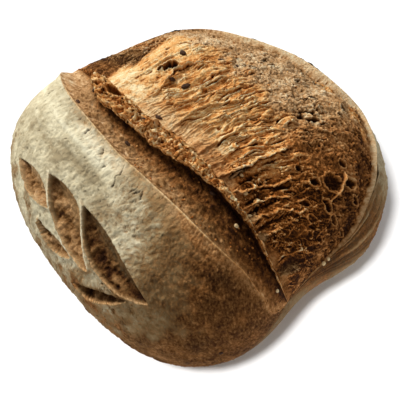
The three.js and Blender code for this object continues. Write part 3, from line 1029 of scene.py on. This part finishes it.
def shape_skin():
    """Every vertex of the loaf's skin with its normal and looks, and the zones."""
    turn, rise, spans = lay_grid()
    point, normal = dough(ALONG, turn)
    steps = np.linalg.norm(np.diff(point, axis=1), axis=-1)
    arc = np.concatenate([np.zeros((ROWS + 1, 1)), np.cumsum(steps, 1)], 1)
    foot = spans["slash"].start
    flat = 0 * turn
    whole = SimpleNamespace(
        along=ALONG + flat, turn=turn, rise=rise, x=point[..., 0], y=point[..., 1], z=point[..., 2],
        s=HALF_LENGTH * np.radians(ALONG) + flat, v=arc[:, foot:foot + 1] - arc,
        column=np.arange(turn.shape[1]) - foot + flat,
        nx=normal[..., 0], ny=normal[..., 1], nz=normal[..., 2],
    )
    relief = flat.copy()
    lean = flat.copy()
    crumbly = flat.copy()
    looks = {name: flat.copy() for name in ("toast", "grey", "pit", "flour")}

    bloom = slice(0, foot + BLOOM_OVERLAP)
    slash = slice(foot - SLASH_OVERLAP, spans["flank"].start + 1)
    crust = slice(spans["flank"].start, spans["under"].stop)
    bloom_found = shape_bloom(whole, patch(whole, bloom))
    slash_found = shape_slash(patch(whole, slash))
    crust_found = shape_crust(patch(whole, crust))
    back = line_at(LIP_BACK, ALONG)
    share = ease(*TAKEOVER, turn - back + 1.2 * noise(whole.s / 3, whole.v / 3, seed=80))
    share[:, :slash.start] = 0
    share[:, bloom.stop:] = 1

    relief[:, bloom] += bloom_found[0] * (1 - share[:, bloom])
    lean[:, bloom] += bloom_found[1] * (1 - share[:, bloom])
    relief[:, slash] += slash_found[0] * share[:, slash]
    relief[:, crust] = crust_found[0]
    crumbly[:, slash] = slash_found[4] * share[:, slash]
    for k, name in enumerate(("toast", "grey", "pit")):
        looks[name][:, bloom] += bloom_found[k + 2] * (1 - share[:, bloom])
        looks[name][:, slash] += slash_found[k + 1] * share[:, slash]
        looks[name][:, crust] = crust_found[k + 1]
    looks["flour"][:, crust] = crust_found[4]
    rim_ease = ease(0, RIM_EASE, np.arange(turn.shape[1]))
    low, high = FAR_SINK_TURNS
    sunk = FAR_SINK * ease(*FAR_SINK_ALONG, ALONG) * ease(*low, turn) * ease(*high, turn)
    relief = relief * rim_ease - sunk

    height = ((rise + relief) * fade(ALONG))[..., None]
    lengthwise = np.gradient(point, axis=0)
    lengthwise /= np.maximum(np.linalg.norm(lengthwise, axis=-1, keepdims=True), 1e-9)
    point += normal * height + lengthwise * (lean * fade(ALONG))[..., None]
    moved = SimpleNamespace(x=point[..., 0], y=point[..., 1], z=point[..., 2])
    jitter = np.stack([
        sum(reach * solid_noise(moved, size, seed + k) for reach, size, seed in CRUMBLE)
        for k in range(3)
    ], -1)
    point += jitter * (crumbly * fade(ALONG))[..., None]
    below = point[..., 2] < -BELLY_HEIGHT
    point[below] *= (BELLY_HEIGHT / -point[below][:, 2])[:, None]
    looks = {name: np.clip(field, 0, 1) for name, field in looks.items()}
    return point + dough_middle(), grid_normals(point), looks, spans, whole


def make_piece(name, corners, faces, looks, material):
    """A mesh object at rest on the root: corners in mm, and its looks by vertex."""
    mesh = bpy.data.meshes.new(name)
    mesh.from_pydata((corners * MM).tolist(), [], faces)
    for look, values in looks.items():
        layer = mesh.attributes.new(look, "FLOAT", "POINT")
        layer.data.foreach_set("value", values.astype(np.float32))
    mesh.shade_smooth()
    mesh.materials.append(material)
    piece = bpy.data.objects.new(name, mesh)
    bpy.context.collection.objects.link(piece)
    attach(piece, "root")
    return piece


def skin_piece(name, point, normal, looks, part, material):
    """One zone of the skin, closed to a point at both ends of the slash."""
    inner = point[1:-1, part]
    rows, columns = inner.shape[:2]
    corners = np.concatenate([inner.reshape(-1, 3), point[:1, 0], point[-1:, 0]])
    index = np.arange(rows * columns).reshape(rows, columns)
    quads = np.stack([index[:-1, :-1], index[:-1, 1:], index[1:, 1:], index[1:, :-1]], -1)
    far, near = rows * columns, rows * columns + 1
    far_fan = [(far, b, a) for a, b in zip(index[0, :-1].tolist(), index[0, 1:].tolist())]
    near_fan = [(near, a, b) for a, b in zip(index[-1, :-1].tolist(), index[-1, 1:].tolist())]
    values = {
        look: np.concatenate([field[1:-1, part].ravel(), [field[0, part].mean(), field[-1, part].mean()]])
        for look, field in looks.items()
    }
    piece = make_piece(name, corners, quads.reshape(-1, 4).tolist() + far_fan + near_fan, values, material)
    mesh = piece.data
    down, across = np.linspace(0, 1, rows + 2)[1:-1, None], np.linspace(0, 1, columns)
    shares = np.stack(np.broadcast_arrays(down, across), -1).reshape(-1, 2)
    shares = np.concatenate([shares, [(0, 0.5), (1, 0.5)]])
    corner_of = np.empty(len(mesh.loops), np.int32)
    mesh.loops.foreach_get("vertex_index", corner_of)
    mesh.uv_layers.new(name=BAKE_MAP).data.foreach_set("uv", shares[corner_of].ravel().astype(np.float32))
    normals = np.concatenate([normal[1:-1, part].reshape(-1, 3), [normal[0, 0], normal[-1, 0]]])
    mesh.normals_split_custom_set_from_vertices(normals.tolist())
    return piece


# ------------------------------ seeds and crumbs

# Seeds: (along, turn), length, width, thickness, and heading in degrees from the slash.
DARK_SEEDS = (
    ((-38, 63), (4.6, 3.2, 2.4), 15), ((-22, 80), (6.0, 3.5, 2.4), 70), ((-25, 54), (4.2, 2.6, 2.0), 50),
    ((-18, 52), (4.6, 2.1, 1.8), -50), ((-16, 102), (5.0, 2.2, 1.8), 5), ((-14, 111), (3.4, 3.0, 2.4), 0),
    ((-18, 114), (3.6, 2.6, 2.2), 30), ((-40, 117), (3.6, 2.6, 2.0), 20), ((-44, 126), (3.8, 2.6, 1.6), 0),
    ((33, 106), (4.0, 2.2, 1.8), 10), ((-29, 82), (3.6, 2.6, 2.0), 30), ((64, 183), (2.6, 2.2, 1.4), 0),
    ((-12, 122), (4.2, 2.0, 1.2), 10),
)
PALE_SEEDS = (
    ((50, 106), (3.0, 2.4, 2.0), 20), ((42, 89), (2.8, 2.4, 2.0), 60), ((-6, 111), (3.2, 2.2, 1.8), 40),
    ((-2, 109), (2.8, 2.2, 1.8), 0), ((14, 102), (2.6, 2.2, 1.8), 80), ((80, 112), (2.4, 2.0, 1.6), 0),
    ((72, 8), (2.8, 2.2, 1.8), 30), ((24, 101), (2.6, 2.0, 1.8), 10), ((-33, 111), (2.8, 2.4, 1.8), 0),
    ((-22, 92), (2.6, 2.0, 1.6), 20), ((51, 93), (2.8, 2.2, 1.8), 70), ((8, 106), (2.8, 2.2, 1.8), 50),
    ((-50, 110), (2.4, 2.0, 1.6), 0), ((70, 12), (2.2, 1.8, 1.4), 60), ((34, 86), (2.4, 1.8, 1.6), 20),
)
# Crumbs: how many, along from and to, columns from the back of the lip, sizes, how browned.
CRUMB_FIELDS = (
    (100, (-60, 68), (4, 33), (0.8, 1.7), 0.52),
    (120, (18, 66), (-150, -8), (0.8, 1.6), 0.5),
    (80, (-45, 66), (-270, -110), (0.7, 1.5), 0.5),
    (50, (-10, 70), (46, 78), (0.7, 1.5), 0.6),
)
SEED_DETAIL = 3
CRUMB_DETAIL = 2
POINTED = 0.22  # share by which a grain is narrower at one end and fuller at the other
GRAIN_WAVES = 1.4  # lumps to a grain's half length
GRAIN_SHADE = 0.1  # how much more browned a grain is at one end
SEED_LUMPY = 0.06
CRUMB_LUMPY = 0.34
CRUMB_SHAPE = (0.6, 1.2)  # how much a crumb's length, width and height differ
CRUMB_SHADE = 0.2
LYING = 0.12  # share of its thickness by which a grain's middle is above the skin


def unit_ball(detail):
    """Vertices and triangles of a ball of radius 1."""
    ball = bmesh.new()
    bmesh.ops.create_icosphere(ball, subdivisions=detail, radius=1.0)
    ball.verts.index_update()
    corners = np.array([vertex.co[:] for vertex in ball.verts])
    faces = np.array([[vertex.index for vertex in face.verts] for face in ball.faces])
    ball.free()
    return corners, faces


def placed_seeds(whole, seeds):
    """Grains at the places of a list of seeds."""
    return [(*place_of(whole, *place), size, heading, 0.0) for place, size, heading in seeds]


def scattered_crumbs(whole):
    """Grains strewn over the lip and the torn parts."""
    foot = int(-whole.column[0, 0])
    grains = []
    for count, alongs, columns, sizes, browned in CRUMB_FIELDS:
        for _ in range(count):
            row, _ = place_of(whole, RANDOM.uniform(*alongs), 90)
            size = RANDOM.uniform(*sizes) * RANDOM.uniform(*CRUMB_SHAPE, 3)
            toast = browned + RANDOM.uniform(-CRUMB_SHADE, CRUMB_SHADE)
            grains.append((row, foot + RANDOM.integers(*columns), size, RANDOM.uniform(0, 360), toast))
    return grains


def grain_piece(name, grains, detail, lumpy, point, normal, material):
    """One mesh of grains lying on the skin, each at a row and column."""
    ball, faces = unit_ball(detail)
    corners = []
    toasts = []
    for number, (row, column, size, heading, toast) in enumerate(grains):
        up = normal[row, column]
        ahead = point[row + 2, column] - point[row - 2, column]
        ahead -= up * ahead.dot(up)
        ahead /= np.linalg.norm(ahead)
        turned = np.radians(heading)
        long = ahead * np.cos(turned) + np.cross(up, ahead) * np.sin(turned)
        axes = np.array([long, np.cross(up, long), up])
        shape = ball * (1 + lumpy * noise(*(ball.T * GRAIN_WAVES), seed=number))[:, None]
        shape[:, 1:] *= 1 - POINTED * shape[:, :1]
        corners.append(point[row, column] + up * LYING * size[2] + shape * np.array(size) / 2 @ axes)
        toasts.append(toast + GRAIN_SHADE * ball[:, 0])
    starts = np.arange(len(grains))[:, None, None] * len(ball)
    triangles = (faces + starts).reshape(-1, 3).tolist()
    looks = {"toast": np.concatenate(toasts)}
    return make_piece(name, np.concatenate(corners), triangles, looks, material)


# ------------------------------ materials

def linear(*srgb):
    """A linear colour from sRGB numbers of 0 to 255."""
    c = np.array(srgb) / 255
    c = np.where(c <= 0.04045, c / 12.92, ((c + 0.055) / 1.055) ** 2.4)
    return (*c.tolist(), 1.0)


class Nodes:
    """Short names for building a material's node tree."""

    def __init__(self, name):
        self.material = bpy.data.materials.new(name)
        self.material.use_nodes = True
        self.tree = self.material.node_tree
        self.shader = self.tree.nodes["Principled BSDF"]

    def new(self, kind, **settings):
        node = self.tree.nodes.new("ShaderNode" + kind)
        for key, value in settings.items():
            setattr(node, key, value)
        return node

    def join(self, source, target):
        self.tree.links.new(source, target)

    def put(self, socket, value):
        """Sets a socket to a number or colour, or joins it to another node's."""
        if isinstance(value, bpy.types.NodeSocket):
            self.join(value, socket)
        else:
            socket.default_value = value

    def surface(self, roughness, shine):
        self.shader.inputs["Roughness"].default_value = roughness
        self.shader.inputs["Specular IOR Level"].default_value = shine

    def attribute(self, name):
        return self.new("Attribute", attribute_name=name).outputs["Fac"]

    def math(self, operation, *values, clamp=False):
        node = self.new("Math", operation=operation, use_clamp=clamp)
        for socket, value in zip(node.inputs, values):
            self.put(socket, value)
        return node.outputs[0]

    def swing(self, value, noise, amount):
        """The value, moved up or down by a noise of 0 to 1."""
        return self.math("ADD", value, self.math("MULTIPLY", self.math("SUBTRACT", noise, 0.5), amount))

    def sharper(self, noise, gain):
        """A noise of 0 to 1 with more contrast."""
        return self.math("MULTIPLY_ADD", noise, gain, 0.5 - 0.5 * gain, clamp=True)

    def mix(self, share, a, b, blend="MIX"):
        node = self.new("Mix", data_type="RGBA", blend_type=blend)
        self.put(node.inputs["Factor"], share)
        self.put(node.inputs[6], a)
        self.put(node.inputs[7], b)
        return node.outputs[2]

    def noise(self, size_mm, detail=3.0, roughness=0.6):
        node = self.new("TexNoise")
        self.join(self.new("TexCoord").outputs["Object"], node.inputs["Vector"])
        node.inputs["Scale"].default_value = 1000 / size_mm
        node.inputs["Detail"].default_value = detail
        node.inputs["Roughness"].default_value = roughness
        return node.outputs["Fac"]

    def ramp(self, value, stops):
        """Colours between stops of a place and an sRGB colour."""
        node = self.new("ValToRGB")
        points = node.color_ramp.elements
        for place, colour in stops[2:]:
            points.new(place)
        for point, (place, colour) in zip(points, sorted(stops)):
            point.position = place
            point.color = linear(*colour)
        self.join(value, node.inputs["Fac"])
        return node.outputs["Color"]


CRUST_ROUGHNESS = 0.85
CRUST_SHINE = 0.06
SEED_SHINE = 0.12
FLOOR_GREY = 0.92
FLOOR_ROUGHNESS = 0.9
FLOOR_SHINE = 0.1
BUMP = 0.38  # mm
THIN_FLOUR = (170, 148, 106)
# Near-black brown painted into holes, pores and cracks for the shade in them
PIT_SHADE = (40, 18, 6)


def bread_material():
    """Crust and crumb: browned by the toast attribute, dusted by flour."""
    n = Nodes("bread")
    grain = n.sharper(n.noise(1.3, 4.0, 0.7), 2.8)
    speckle = n.sharper(n.noise(2.4, 3.0), 2.4)
    toast = n.swing(n.attribute("toast"), grain, 0.2)
    toast = n.swing(toast, speckle, 0.15)
    warm = n.ramp(toast, [
        (0.0, (250, 236, 194)), (0.14, (242, 214, 160)), (0.3, (232, 180, 114)),
        (0.45, (213, 147, 81)), (0.6, (177, 107, 48)), (0.75, (123, 72, 27)),
        (0.9, (76, 41, 15)), (1.0, (44, 20, 7)),
    ])
    dusky = n.ramp(toast, [
        (0.0, (240, 226, 192)), (0.2, (222, 192, 150)), (0.4, (190, 150, 106)),
        (0.55, (158, 121, 79)), (0.7, (119, 84, 47)), (0.85, (78, 48, 22)),
        (1.0, (42, 21, 8)),
    ])
    duskiness = n.math("MULTIPLY_ADD", n.attribute("flour"), 1.6, n.attribute("grey"), clamp=True)
    colour = n.mix(duskiness, warm, dusky)
    dust = n.attribute("flour")
    thin = n.math("MULTIPLY", dust, n.math("SUBTRACT", 1.0, dust))
    patchiness = n.math("ADD", n.math("SUBTRACT", grain, 0.5), n.math("SUBTRACT", speckle, 0.5))
    dust = n.math("ADD", dust, n.math("MULTIPLY", n.math("MULTIPLY", thin, patchiness), 2.2), clamp=True)
    clean = n.math("SUBTRACT", 1.0, n.attribute("grey"))
    tone = n.swing(clean, n.sharper(n.noise(6.0, 4.0, 0.6), 2.0), 0.35)
    flour = n.ramp(n.swing(tone, speckle, 0.16), [
        (0.1, (164, 150, 119)), (0.5, (207, 197, 165)), (0.9, (241, 235, 205)),
    ])
    film = n.math("MULTIPLY_ADD", n.attribute("flour"), 1.8, -0.45, clamp=True)
    colour = n.mix(dust, colour, n.mix(film, linear(*THIN_FLOUR), flour))
    # Painted shade: holes, pores and cracks darkened towards the near-black brown
    colour = n.mix(n.math("MULTIPLY", n.attribute("pit"), 0.97), colour, linear(*PIT_SHADE))
    n.join(colour, n.shader.inputs["Base Color"])
    n.surface(CRUST_ROUGHNESS, CRUST_SHINE)
    bump = n.new("Bump")
    n.join(n.math("MULTIPLY_ADD", dust, -0.4, 1.0), bump.inputs["Strength"])
    bump.inputs["Distance"].default_value = BUMP * MM
    n.join(n.math("ADD", grain, speckle), bump.inputs["Height"])
    n.join(bump.outputs["Normal"], n.shader.inputs["Normal"])
    return n.material


def seed_material(name, dark, light, roughness):
    """A seed's skin, mottled between two colours."""
    n = Nodes(name)
    n.join(n.mix(n.sharper(n.noise(1.6, 3.0), 2.0), dark, light), n.shader.inputs["Base Color"])
    n.surface(roughness, SEED_SHINE)
    return n.material


def floor_material():
    n = Nodes("pale_floor")
    n.shader.inputs["Base Color"].default_value = (FLOOR_GREY, FLOOR_GREY, FLOOR_GREY, 1)
    n.surface(FLOOR_ROUGHNESS, FLOOR_SHINE)
    return n.material


# ------------------------------ the studio

FLOOR_SIZE = 6.0
CAMERA_AZIMUTH = 55.0
CAMERA_ELEVATION = 57.0
CAMERA_DISTANCE = 0.8
LENS = 117.4
AIM_HEIGHT = 0.045
AIM_RIGHT = 0.001  # the camera looks a little beside and below the loaf's middle
AIM_UP = -0.01
CLIP_START = 0.05
# Suns: the direction they shine from, their energy and their spread in degrees.
KEY_FROM = Vector((-0.93, -0.08, 0.66))
KEY_ENERGY = 3.5
KEY_SPREAD = 16
TOP_FROM = Vector((-0.35, 0.55, 1.0))
TOP_ENERGY = 0.45
TOP_SPREAD = 50
FLOOR_ENERGY = 3.2
FLOOR_FILL_ENERGY = 0.85
FLOOR_SPREAD = 9
FLOOR_LEAN_LEFT = 0.24
FLOOR_LEAN_UP = 0.21
FILL_FROM = Vector((0.1, -0.1, 1.0))
FILL_ENERGY = 0.65
FILL_SPREAD = 170
SKY = 0.12
WARM = (1.0, 0.97, 0.93)
NEUTRAL = (1.0, 1.0, 1.0)


def view_axes():
    """Directions from the loaf to the camera, and to its right and up."""
    a, e = np.radians(CAMERA_AZIMUTH), np.radians(CAMERA_ELEVATION)
    back = Vector((np.sin(a) * np.cos(e), -np.cos(a) * np.cos(e), np.sin(e)))
    right = Vector((np.cos(a), np.sin(a), 0))
    return back, right, back.cross(right)


def add_sun(name, from_direction, energy, spread, colour, lit):
    """A soft sun that lights only the given objects."""
    sun = bpy.data.lights.new(name, "SUN")
    sun.energy = energy
    sun.angle = np.radians(spread)
    sun.color = colour
    lamp = bpy.data.objects.new(name, sun)
    bpy.context.collection.objects.link(lamp)
    lamp.rotation_mode = "QUATERNION"
    lamp.rotation_quaternion = from_direction.to_track_quat("Z", "Y")
    receivers = bpy.data.collections.new(name + "_lit")
    for obj in lit:
        receivers.objects.link(obj)
    lamp.light_linking.receiver_collection = receivers


def build_floor():
    mesh = bpy.data.meshes.new("floor")
    half = FLOOR_SIZE / 2
    corners = [(-half, -half, 0), (half, -half, 0), (half, half, 0), (-half, half, 0)]
    mesh.from_pydata(corners, [], [(0, 1, 2, 3)])
    floor = bpy.data.objects.new("floor", mesh)
    bpy.context.collection.objects.link(floor)
    mesh.materials.append(floor_material())
    return floor


def build_lights(pieces, floor):
    back, right, up = view_axes()
    add_sun("key", KEY_FROM, KEY_ENERGY, KEY_SPREAD, WARM, pieces)
    add_sun("top", TOP_FROM, TOP_ENERGY, TOP_SPREAD, WARM, pieces)
    add_sun("fill", FILL_FROM, FILL_ENERGY, FILL_SPREAD, WARM, pieces)
    floor_from = back - right * FLOOR_LEAN_LEFT + up * FLOOR_LEAN_UP
    add_sun("floor_light", floor_from, FLOOR_ENERGY, FLOOR_SPREAD, NEUTRAL, [floor])
    add_sun("floor_fill", FILL_FROM, FLOOR_FILL_ENERGY, FILL_SPREAD, NEUTRAL, [floor])
    world = bpy.data.worlds.new("studio")
    world.use_nodes = True
    world.node_tree.nodes["Background"].inputs["Color"].default_value = (1, 1, 1, 1)
    world.node_tree.nodes["Background"].inputs["Strength"].default_value = SKY
    bpy.context.scene.world = world
    bpy.context.scene.view_settings.view_transform = "Standard"


def build_camera():
    back, right, up = view_axes()
    data = bpy.data.cameras.new("camera")
    data.lens = LENS
    data.clip_start = CLIP_START
    camera = bpy.data.objects.new("camera", data)
    bpy.context.collection.objects.link(camera)
    middle = dough_middle() * MM
    aim = Vector((middle[0], middle[1], AIM_HEIGHT))
    camera.location = aim + back * CAMERA_DISTANCE
    target = aim + right * AIM_RIGHT + up * AIM_UP
    camera.rotation_mode = "QUATERNION"
    camera.rotation_quaternion = (camera.location - target).to_track_quat("Z", "Y")
    bpy.context.scene.camera = camera


# ------------------------------ build

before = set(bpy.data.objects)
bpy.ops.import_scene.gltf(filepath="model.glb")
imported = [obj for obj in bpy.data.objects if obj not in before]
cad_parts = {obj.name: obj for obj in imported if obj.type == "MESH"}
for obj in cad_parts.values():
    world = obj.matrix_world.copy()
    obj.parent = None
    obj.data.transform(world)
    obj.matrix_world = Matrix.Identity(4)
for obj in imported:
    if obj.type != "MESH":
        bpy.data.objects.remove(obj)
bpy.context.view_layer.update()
build_camera()
bread = bread_material()
skin_point, skin_normal, skin_looks, skin_spans, skin_fields = shape_skin()
pieces = [
    skin_piece(zone, skin_point, skin_normal, skin_looks, columns, bread)
    for zone, columns in skin_spans.items()
]
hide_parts(NODE)
dark_seed = seed_material("dark_seed", linear(36, 20, 12), linear(88, 62, 44), 0.7)
pale_seed = seed_material("pale_seed", linear(206, 168, 110), linear(244, 222, 176), 0.6)
for name, grains, detail, lumpy, material in (
    ("dark_seeds", placed_seeds(skin_fields, DARK_SEEDS), SEED_DETAIL, SEED_LUMPY, dark_seed),
    ("pale_seeds", placed_seeds(skin_fields, PALE_SEEDS), SEED_DETAIL, SEED_LUMPY, pale_seed),
    ("crumbs", scattered_crumbs(skin_fields), CRUMB_DETAIL, CRUMB_LUMPY, bread),
):
    pieces.append(grain_piece(name, grains, detail, lumpy, skin_point, skin_normal, material))
build_lights(pieces, build_floor())
